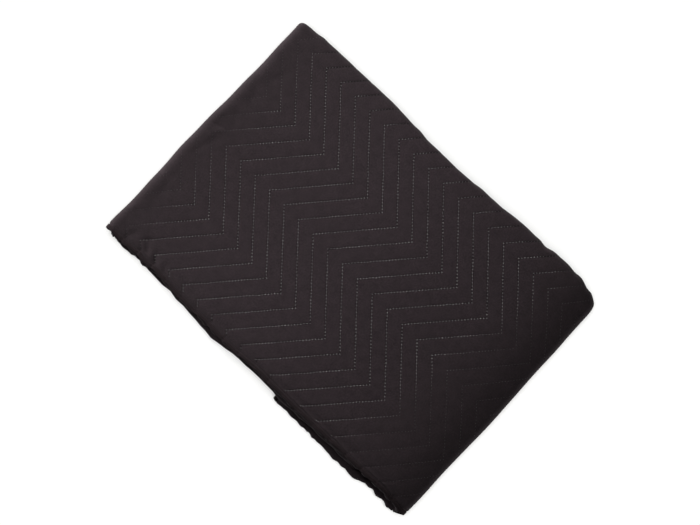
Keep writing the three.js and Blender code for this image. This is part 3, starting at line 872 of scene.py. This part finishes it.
bindings = [
    sideBinding("firstSideBinding", 0.0, 1, 1.0),
    sideBinding("secondSideBinding", acrossLength, -1, 0.0),
    endBinding("longFlapBinding", 0.0, 1),
    endBinding("shortFlapBinding", stripLength, -1),
]
bindingNodes = ("first_side_binding", "second_side_binding", "long_flap_binding", "short_flap_binding")
for piece, node in zip(bindings, bindingNodes):
    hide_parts(node)
print("bindings", [len(piece.data.polygons) for piece in bindings])

stitching = {  # thread on the face, millimetres
    "perLeg": 27,
    "length": 1.5,
    "radius": 0.44,
    "rise": 0.14,
    "bury": 0.4,
    "cornerScale": 1.35,
    "cornerPaleness": 1.5,
    "wobble": 0.2,
    "sides": 5,
    "fromFold": 6.0,  # stitches are left out this near the far ends of both folds
    "fromSeam": 1.0,
    "cornerFromSeam": -6.0,
    "leastPale": 0.015,
    "foldedFade": (222.0, 240.0),  # sunk into the folded side
    "foldedSunk": 0.97,
    "lastLegFade": (-295.0, -205.0),
}
threadLook = {"sunk": "#2b2627", "shade": "#b0abaa", "light": "#f0edeb", "twist": 900.0, "roughness": 0.6}
# pale, with a soft gloss on each stitch
threadMaterial, tree, shader = newMaterial("twisted polyester quilting thread")
coords = addNode(tree, "ShaderNodeTexCoord")
twist = addNode(tree, "ShaderNodeTexNoise", None,
                {"Vector": coords.outputs["Object"], "Scale": threadLook["twist"], "Detail": 2.0})
twistRamp = addNode(tree, "ShaderNodeValToRGB", None, {"Fac": twist.outputs["Fac"]})
twistRamp.color_ramp.elements[0].position = 0.3
twistRamp.color_ramp.elements[0].color = linear(threadLook["shade"])
twistRamp.color_ramp.elements[1].position = 0.65
twistRamp.color_ramp.elements[1].color = linear(threadLook["light"])
paleNode = addNode(tree, "ShaderNodeAttribute", {"attribute_name": "paleness"})
threadTone = addNode(tree, "ShaderNodeMix", {"data_type": "RGBA"},
                     {"Factor": paleNode.outputs["Fac"], 6: linear(threadLook["sunk"]),
                      7: twistRamp.outputs["Color"]})
bump = addNode(tree, "ShaderNodeBump", None,
               {"Height": twist.outputs["Fac"], "Strength": 0.4, "Distance": 0.0002})
tree.links.new(threadTone.outputs[2], shader.inputs["Base Color"])
tree.links.new(bump.outputs["Normal"], shader.inputs["Normal"])
shader.inputs["Roughness"].default_value = threadLook["roughness"]
shader.inputs["Sheen Weight"].default_value = 0.1

stitchRows, stitchTurns = [], []
for row in range(firstRow, lastRow + 1):
    lastTurn = max(float(turnAtLine(row, wholeLegs, openLine)), float(wholeLegs))
    firstTurn = float(turnAtLine(row, -1, foldCentre, 0.9 * math.pi * stripHalf))
    numbers = np.arange(math.ceil(firstTurn * stitching["perLeg"]), lastTurn * stitching["perLeg"] + 0.01)
    turns = numbers / stitching["perLeg"]
    stitchRows.append(np.full(len(turns), float(row)))
    stitchTurns.append(turns)
stitchRows, stitchTurns = np.concatenate(stitchRows), np.concatenate(stitchTurns)
stitchX, stitchY = stitchAt(stitchRows, stitchTurns)
atCorner = np.abs(stitchTurns - np.round(stitchTurns)) < 0.3 / stitching["perLeg"]
fromSeam = straightY(outerOf(stitchX), stitchY) - openLine
shown = (outerOf(stitchX) > leftFoldFrom + stitching["fromFold"])
shown &= (outerOf(stitchX) < rightFoldTo - stitching["fromFold"])
shown &= (fromSeam > stitching["fromSeam"]) | (atCorner & (fromSeam > stitching["cornerFromSeam"]))
found = (stitchRows, stitchTurns, stitchX, stitchY, atCorner)
stitchRows, stitchTurns, stitchX, stitchY, atCorner = (each[shown] for each in found)
stitchScale = np.where(atCorner, stitching["cornerScale"], 1.0) * rng.uniform(0.85, 1.15, len(stitchX))
stitchHalf = stitching["length"] / 2 / quilting["legLength"] * rng.uniform(0.9, 1.1, len(stitchX))
leastPale = stitching["leastPale"]
paleness = leastPale + (1 - leastPale) * stitchedShare(outerOf(stitchX), stitchY)
paleness = paleness * (1 - stitching["foldedSunk"] * smooth(stitchY, *stitching["foldedFade"]))
paleness = paleness * (0.8 + 0.2 * np.sin(stitchTurns * 9 + stitchRows * 2.3))
paleness = paleness * rng.uniform(0.5, 1.0, len(stitchX))
paleness = np.where(atCorner, np.minimum(paleness * stitching["cornerPaleness"], 1), paleness)
onLastLeg = stitchTurns > wholeLegs + 0.01
paleness = np.where(onLastLeg, paleness * smooth(stitchX, *stitching["lastLegFade"]), paleness)
low, high = np.floor(stitchTurns) + 1e-4, np.floor(stitchTurns) + 1 - 1e-4
before = facePoint(stitchRows, np.clip(stitchTurns - stitchHalf, low, high), 0.0)[0]
after = facePoint(stitchRows, np.clip(stitchTurns + stitchHalf, low, high), 0.0)[0]
middle = facePoint(stitchRows, stitchTurns, 0.0)[0]
above = facePoint(stitchRows, stitchTurns, 1.0)[0]
lead = (after - before) / np.linalg.norm(after - before, axis=1, keepdims=True)
normal = (above - middle) / np.linalg.norm(above - middle, axis=1, keepdims=True)
beside = np.cross(lead, normal)
beside /= np.linalg.norm(beside, axis=1, keepdims=True)
sway = rng.normal(0, stitching["wobble"], (len(middle), 1)) * beside
rings = [  # part of the half length, height and thickness of each ring
    {"at": -1.0, "height": -stitching["bury"], "size": 0.6},
    {"at": -0.55, "height": stitching["rise"], "size": 1.0},
    {"at": 0.55, "height": stitching["rise"], "size": 1.0},
    {"at": 1.0, "height": -stitching["bury"], "size": 0.6},
]
sides = stitching["sides"]
threadPoints = np.zeros((len(middle), len(rings), sides, 3))
halfSpan = np.linalg.norm(after - before, axis=1, keepdims=True) / 2
for r, ring in enumerate(rings):
    centre = middle + lead * halfSpan * ring["at"] + normal * ring["height"] + sway
    for s in range(sides):
        angle = 2 * math.pi * s / sides
        radius = stitching["radius"] * ring["size"] * stitchScale[:, None]
        threadPoints[:, r, s] = centre + radius * (beside * math.cos(angle) + normal * math.sin(angle))
perStitch = len(rings) * sides
template = []
for r in range(len(rings) - 1):
    for s in range(sides):
        t = (s + 1) % sides
        template.append((r * sides + s, r * sides + t, (r + 1) * sides + t, (r + 1) * sides + s))
starts = (np.arange(len(middle)) * perStitch)[:, None, None]
threadFaces = (np.array(template)[None] + starts).reshape(-1, 4).tolist()
ends = [list(range(sides))[::-1], list(range(perStitch - sides, perStitch))]
threadFaces += (np.array(ends)[None] + starts).reshape(-1, sides).tolist()
thread = addMesh("quiltingThread", threadPoints.reshape(-1, 3), threadFaces, threadMaterial, None,
                 {"paleness": np.repeat(paleness, perStitch)})
print("stitches", len(middle))

for piece in [quilt, thread] + bindings:
    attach(piece, "root")

stage = {  # metres and degrees: a flat floor that sweeps up far away, as a studio cove does
    "floor": "#f3f3f2",
    "drop": 0.0003,
    "flatReach": 4.0,
    "coveReach": 38.0,
    "coveSlope": 36.0,
    "rings": 20,
    "sides": 64,
}
floorMaterial, tree, shader = newMaterial("matt white studio board")  # pale and even, no gloss
shader.inputs["Base Color"].default_value = linear(stage["floor"])
shader.inputs["Roughness"].default_value = 0.9
shader.inputs["Specular IOR Level"].default_value = 0.1
coveBend = math.tan(math.radians(stage["coveSlope"])) / (stage["coveReach"] - stage["flatReach"]) / 2
floorPoints = []
for radius in np.geomspace(stage["flatReach"], stage["coveReach"], stage["rings"]):
    level = coveBend * (radius - stage["flatReach"]) ** 2 - stage["drop"]
    for angle in 2 * math.pi * np.arange(stage["sides"]) / stage["sides"]:
        floorPoints.append((radius * math.cos(angle), radius * math.sin(angle), level))
ringIds = np.arange(len(floorPoints)).reshape(stage["rings"], stage["sides"])
nextIds = np.roll(ringIds, -1, axis=1)
coveFaces = np.stack([nextIds[:-1], ringIds[:-1], ringIds[1:], nextIds[1:]], -1).reshape(-1, 4).tolist()


def addStage(name, points, faces):
    mesh = bpy.data.meshes.new(name)
    mesh.from_pydata(points, [], faces)
    mesh.shade_smooth()
    mesh.materials.append(floorMaterial)
    piece = bpy.data.objects.new(name, mesh)
    bpy.context.scene.collection.objects.link(piece)
    return piece


floor = addStage("floor", floorPoints[:stage["sides"]], [tuple(range(stage["sides"]))])
cove = addStage("cove", floorPoints, coveFaces)
cove.visible_diffuse = cove.visible_glossy = cove.visible_shadow = False  # it adds no light of its own

# all aim at the part: boxes with a size in metres and watts, and a sky in degrees and watts a square metre
lampColumns = ("name", "kind", "place", "size", "power", "lights")
lamps = [dict(zip(lampColumns, row)) for row in (
    ("keyBox", "AREA", (-5.95, 1.05, 2.38), 2.9, 970, "quilt"),
    ("fillBox", "AREA", (5.5, 0.8, 0.9), 2.0, 98, "quilt"),
    ("floorSky", "SUN", (0.0, 0.0, 3.2), 50, 3.5, "floor"),
)]
# the floor has a lamp of its own and stays even
lit = {"quilt": [quilt, thread] + bindings, "floor": [floor, cove]}
for lamp in lamps:
    data = bpy.data.lights.new(lamp["name"], lamp["kind"])
    data.energy = lamp["power"]
    if lamp["kind"] == "SUN":
        data.angle = math.radians(lamp["size"])
    else:
        data.shape, data.size = "SQUARE", lamp["size"]
    light = bpy.data.objects.new(lamp["name"], data)
    light.location = lamp["place"]
    light.rotation_euler = (-Vector(lamp["place"])).to_track_quat("-Z", "Y").to_euler()
    bpy.context.scene.collection.objects.link(light)
    receivers = bpy.data.collections.new(lamp["lights"] + "Lit")
    for piece in lit[lamp["lights"]]:
        receivers.objects.link(piece)
    light.light_linking.receiver_collection = receivers
world = bpy.data.worlds.new("studio")
world.use_nodes = True
world.node_tree.nodes["Background"].inputs["Color"].default_value = (1, 1, 1, 1)
world.node_tree.nodes["Background"].inputs["Strength"].default_value = 0.04
bpy.context.scene.world = world
bpy.context.scene.view_settings.view_transform = "Standard"

viewing = {  # metres: where the camera stands, and the ways its picture runs right and up
    "place": (0.0890, -0.0745, 1.7379),
    "right": (0.7301, 0.6833, -0.0080),
    "up": (-0.6811, 0.7287, 0.0709),
    "lens": 50.16,  # millimetres, on a 36 mm wide sensor
}
right = Vector(viewing["right"]).normalized()
back = right.cross(Vector(viewing["up"])).normalized()
up = back.cross(right)
cameraData = bpy.data.cameras.new("camera")
cameraData.lens, cameraData.sensor_width = viewing["lens"], 36.0
camera = bpy.data.objects.new("camera", cameraData)
camera.matrix_world = Matrix.Translation(viewing["place"]) @ Matrix((right, up, back)).transposed().to_4x4()
bpy.context.scene.collection.objects.link(camera)
bpy.context.scene.camera = camera
print("stage and camera set")
